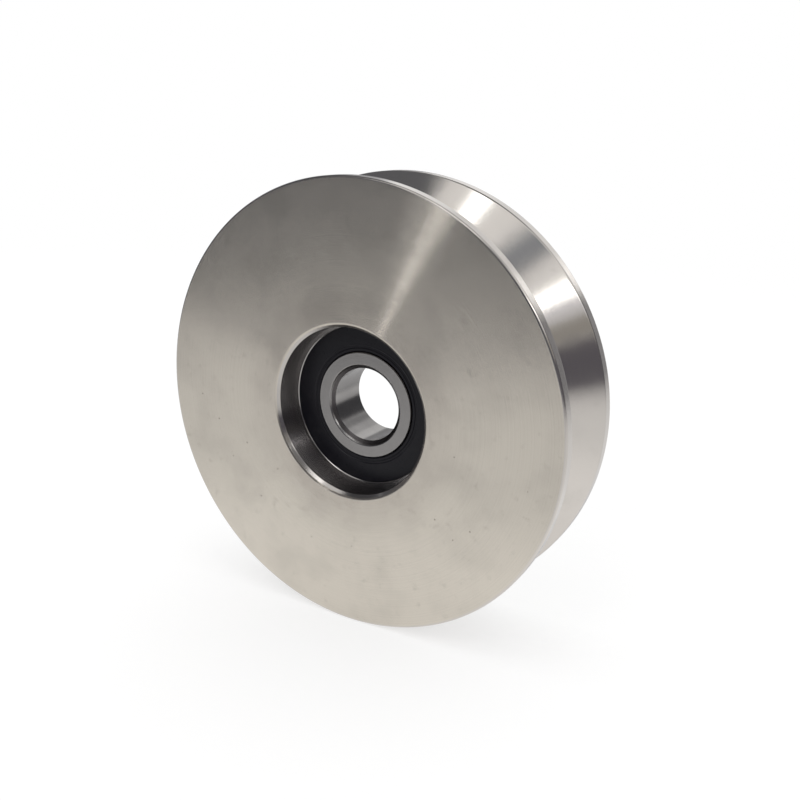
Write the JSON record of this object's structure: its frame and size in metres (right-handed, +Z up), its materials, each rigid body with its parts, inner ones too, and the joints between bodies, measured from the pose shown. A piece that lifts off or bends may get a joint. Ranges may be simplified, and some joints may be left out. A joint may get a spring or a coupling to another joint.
{
  "type": "sliding gate wheel",
  "caption": "Steel wheel with a V groove round its rim and a sealed ball bearing in its stepped bore, for a sliding gate that runs on an angle track.",
  "frame": {"origin": "centre of the wheel, on the axle's line and midway between its two faces", "axes": "+Y along the axle, from the recessed front face to the rear face; +Z up, with the track below"},
  "size_m": [0.12, 0.03, 0.12],
  "materials": {
    "wheel_steel": "fine turned faces, polished groove and lands",
    "bearing_steel": "ground",
    "ball_steel": "mirror polished",
    "cage_steel": "pressed sheet, oiled",
    "seal_rubber": "matt, moulded",
    "spring_steel": "blackened spring steel"
  },
  "bodies": {
    "hub": {"bearing_inner_ring": "bearing_steel"},
    "wheel": {"wheel_body": "wheel_steel", "bearing_outer_ring": "bearing_steel", "front_seal": "seal_rubber", "rear_seal": "seal_rubber", "retaining_ring": "spring_steel"},
    "cage": {"cage_front": "cage_steel", "cage_rear": "cage_steel", "cage_rivets": "cage_steel"},
    "ball_1": {"ball_1": "ball_steel"},
    "ball_2": {"ball_2": "ball_steel"},
    "ball_3": {"ball_3": "ball_steel"},
    "ball_4": {"ball_4": "ball_steel"},
    "ball_5": {"ball_5": "ball_steel"},
    "ball_6": {"ball_6": "ball_steel"},
    "ball_7": {"ball_7": "ball_steel"},
    "ball_8": {"ball_8": "ball_steel"}
  },
  "joints": [
    {"name": "wheel_spin", "type": "hinge", "parent": "hub", "child": "wheel", "pos_m": [0, 0, 0], "axis": [0, 1, 0], "continuous": true},
    {"name": "cage_spin", "type": "hinge", "parent": "hub", "child": "cage", "pos_m": [0, 0, 0], "axis": [0, 1, 0], "continuous": true},
    {"name": "ball_1_spin", "type": "hinge", "parent": "cage", "child": "ball_1", "pos_m": [0.01675, 0, 0], "axis": [0, 1, 0], "continuous": true},
    {"name": "ball_2_spin", "type": "hinge", "parent": "cage", "child": "ball_2", "pos_m": [0.01184, 0, 0.01184], "axis": [0, 1, 0], "continuous": true},
    {"name": "ball_3_spin", "type": "hinge", "parent": "cage", "child": "ball_3", "pos_m": [0, 0, 0.01675], "axis": [0, 1, 0], "continuous": true},
    {"name": "ball_4_spin", "type": "hinge", "parent": "cage", "child": "ball_4", "pos_m": [-0.01184, 0, 0.01184], "axis": [0, 1, 0], "continuous": true},
    {"name": "ball_5_spin", "type": "hinge", "parent": "cage", "child": "ball_5", "pos_m": [-0.01675, 0, 0], "axis": [0, 1, 0], "continuous": true},
    {"name": "ball_6_spin", "type": "hinge", "parent": "cage", "child": "ball_6", "pos_m": [-0.01184, 0, -0.01184], "axis": [0, 1, 0], "continuous": true},
    {"name": "ball_7_spin", "type": "hinge", "parent": "cage", "child": "ball_7", "pos_m": [0, 0, -0.01675], "axis": [0, 1, 0], "continuous": true},
    {"name": "ball_8_spin", "type": "hinge", "parent": "cage", "child": "ball_8", "pos_m": [0.01184, 0, -0.01184], "axis": [0, 1, 0], "continuous": true}
  ],
  "couplings": [
    {"joint": "cage_spin", "follows": "wheel_spin", "ratio": 0.61848},
    {"joint": "ball_1_spin", "follows": "wheel_spin", "ratio": 1.9916},
    {"joint": "ball_2_spin", "follows": "wheel_spin", "ratio": 1.9916},
    {"joint": "ball_3_spin", "follows": "wheel_spin", "ratio": 1.9916},
    {"joint": "ball_4_spin", "follows": "wheel_spin", "ratio": 1.9916},
    {"joint": "ball_5_spin", "follows": "wheel_spin", "ratio": 1.9916},
    {"joint": "ball_6_spin", "follows": "wheel_spin", "ratio": 1.9916},
    {"joint": "ball_7_spin", "follows": "wheel_spin", "ratio": 1.9916},
    {"joint": "ball_8_spin", "follows": "wheel_spin", "ratio": 1.9916}
  ]
}
